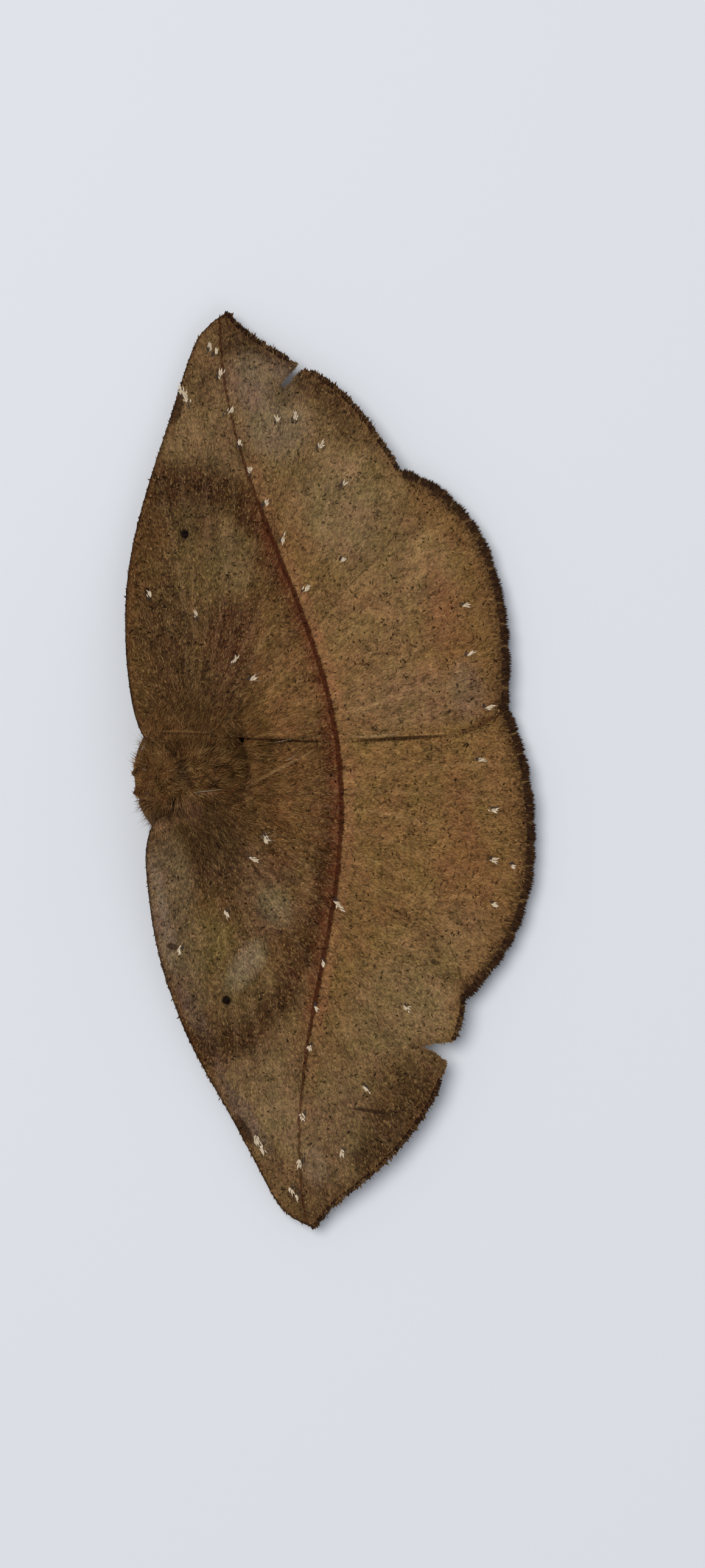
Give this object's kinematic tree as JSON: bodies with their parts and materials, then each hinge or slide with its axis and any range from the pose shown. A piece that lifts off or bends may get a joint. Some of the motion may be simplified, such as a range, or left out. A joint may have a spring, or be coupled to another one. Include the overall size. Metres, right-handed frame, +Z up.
{
  "type": "leaf-mimic geometer moth",
  "caption": "Brown leaf-mimic moth at rest, hooked forewings spread flat over its body, with a dark line across all four wings.",
  "frame": {"origin": "middle of the rectangle that the moth covers, on the surface it stands on", "axes": "+X from the body's midline towards the moth's left wing tip, -Y the way the head looks, +Z up from the surface"},
  "size_m": [0.0602, 0.0258, 0.0055],
  "materials": {
    "wing_scale": "matt powdery scales, faint sheen along the front edge",
    "body_fur": "matt shaggy hair",
    "leg_scale": "matt close scales over horn",
    "eye_dark": "glossy, finely faceted"
  },
  "bodies": {
    "root": {"head": "body_fur", "thorax": "body_fur", "abdomen": "body_fur", "forewing_left": "wing_scale", "hindwing_left": "wing_scale", "eye_left": "eye_dark", "antenna_left": "leg_scale", "palp_left": "body_fur", "foreleg_left": "leg_scale", "midleg_left": "leg_scale", "hindleg_left": "leg_scale", "forewing_right": "wing_scale", "hindwing_right": "wing_scale", "eye_right": "eye_dark", "antenna_right": "leg_scale", "palp_right": "body_fur", "foreleg_right": "leg_scale", "midleg_right": "leg_scale", "hindleg_right": "leg_scale"}
  },
  "joints": []
}
